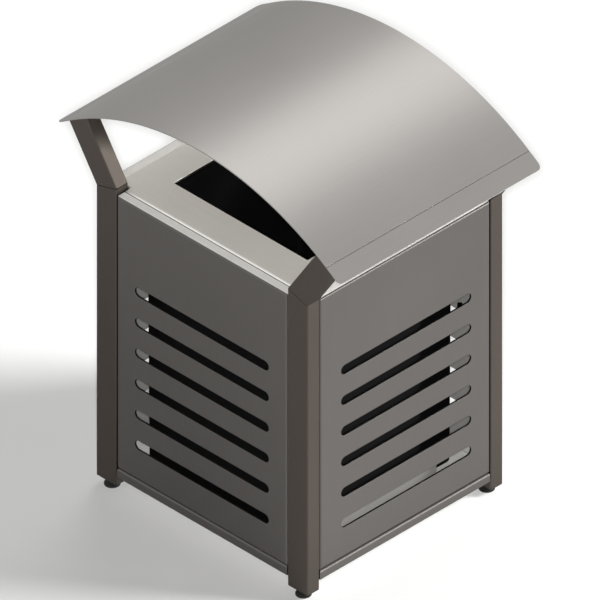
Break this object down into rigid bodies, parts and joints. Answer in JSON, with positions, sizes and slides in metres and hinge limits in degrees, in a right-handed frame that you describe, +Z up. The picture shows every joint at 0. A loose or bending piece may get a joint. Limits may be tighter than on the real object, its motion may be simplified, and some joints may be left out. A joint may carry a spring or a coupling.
{
  "type": "outdoor trash receptacle",
  "caption": "Square free-standing stainless outdoor trash receptacle with slotted sides, bent corner posts, a top deposit opening and an arched canopy over it.",
  "frame": {"origin": "on the ground, under the middle of the body", "axes": "+Z up; front panel looks along -Y; service door looks along +Y; the canopy arches over X"},
  "size_m": [0.899, 0.6432, 1.0859],
  "materials": {
    "panel_steel": "satin brushed stainless sheet",
    "canopy_steel": "satin brushed stainless sheet, rolled",
    "post_steel": "satin brushed stainless tube",
    "bright_steel": "plain stainless fasteners",
    "black_plastic": "moulded black polyethylene",
    "foot_rubber": "moulded black rubber on a steel stud"
  },
  "bodies": {
    "frame": {"post_front_left": "post_steel", "post_plug_front_left": "black_plastic", "foot_nut_front_left": "bright_steel", "post_front_right": "post_steel", "post_plug_front_right": "black_plastic", "foot_nut_front_right": "bright_steel", "post_rear_left": "post_steel", "post_plug_rear_left": "black_plastic", "foot_nut_rear_left": "bright_steel", "post_rear_right": "post_steel", "post_plug_rear_right": "black_plastic", "foot_nut_rear_right": "bright_steel", "base_tray": "panel_steel", "top_plate": "panel_steel", "deposit_chute": "black_plastic", "canopy": "canopy_steel", "front_panel": "panel_steel", "left_panel": "panel_steel", "right_panel": "panel_steel", "liner": "black_plastic", "liner_guide_left": "panel_steel", "liner_guide_right": "panel_steel", "liner_stop": "panel_steel", "hinge_lower_post_leaf": "bright_steel", "hinge_lower_pin": "bright_steel", "hinge_upper_post_leaf": "bright_steel", "hinge_upper_pin": "bright_steel", "panel_bolt_front_lower_left": "bright_steel", "panel_bolt_front_lower_right": "bright_steel", "panel_bolt_front_upper_left": "bright_steel", "panel_bolt_front_upper_right": "bright_steel", "panel_bolt_left_lower_left": "bright_steel", "panel_bolt_left_lower_right": "bright_steel", "panel_bolt_left_upper_left": "bright_steel", "panel_bolt_left_upper_right": "bright_steel", "panel_bolt_right_lower_left": "bright_steel", "panel_bolt_right_lower_right": "bright_steel", "panel_bolt_right_upper_left": "bright_steel", "panel_bolt_right_upper_right": "bright_steel", "base_bolt_front_left": "bright_steel", "base_bolt_front_right": "bright_steel", "base_bolt_rear_left": "bright_steel", "base_bolt_rear_right": "bright_steel", "top_plate_bolt_front_left": "bright_steel", "top_plate_bolt_front_right": "bright_steel", "top_plate_bolt_rear_left": "bright_steel", "top_plate_bolt_rear_right": "bright_steel"},
    "door": {"service_door": "panel_steel", "hinge_lower_door_leaf": "bright_steel", "hinge_upper_door_leaf": "bright_steel", "lock_body": "bright_steel", "lock_nut": "bright_steel"},
    "lock": {"lock_plug": "bright_steel", "lock_cam": "bright_steel", "lock_cam_screw": "bright_steel"},
    "foot_front_left": {"foot_front_left": "foot_rubber"},
    "foot_front_right": {"foot_front_right": "foot_rubber"},
    "foot_rear_left": {"foot_rear_left": "foot_rubber"},
    "foot_rear_right": {"foot_rear_right": "foot_rubber"}
  },
  "joints": [
    {"name": "door_swing", "type": "hinge", "parent": "frame", "child": "door", "pos_m": [-0.27093, 0.3152, 0.44255], "axis": [0, 0, 1], "range_deg": [0, 180]},
    {"name": "lock_turn", "type": "hinge", "parent": "door", "child": "lock", "pos_m": [0.24105, 0.3099, 0.44255], "axis": [0, 1, 0], "range_deg": [0, 90]},
    {"name": "foot_front_left_height", "type": "slide", "parent": "frame", "child": "foot_front_left", "axis": [0, 0, -1], "range_m": [0, 0.015]},
    {"name": "foot_front_right_height", "type": "slide", "parent": "frame", "child": "foot_front_right", "axis": [0, 0, -1], "range_m": [0, 0.015]},
    {"name": "foot_rear_left_height", "type": "slide", "parent": "frame", "child": "foot_rear_left", "axis": [0, 0, -1], "range_m": [0, 0.015]},
    {"name": "foot_rear_right_height", "type": "slide", "parent": "frame", "child": "foot_rear_right", "axis": [0, 0, -1], "range_m": [0, 0.015]}
  ]
}
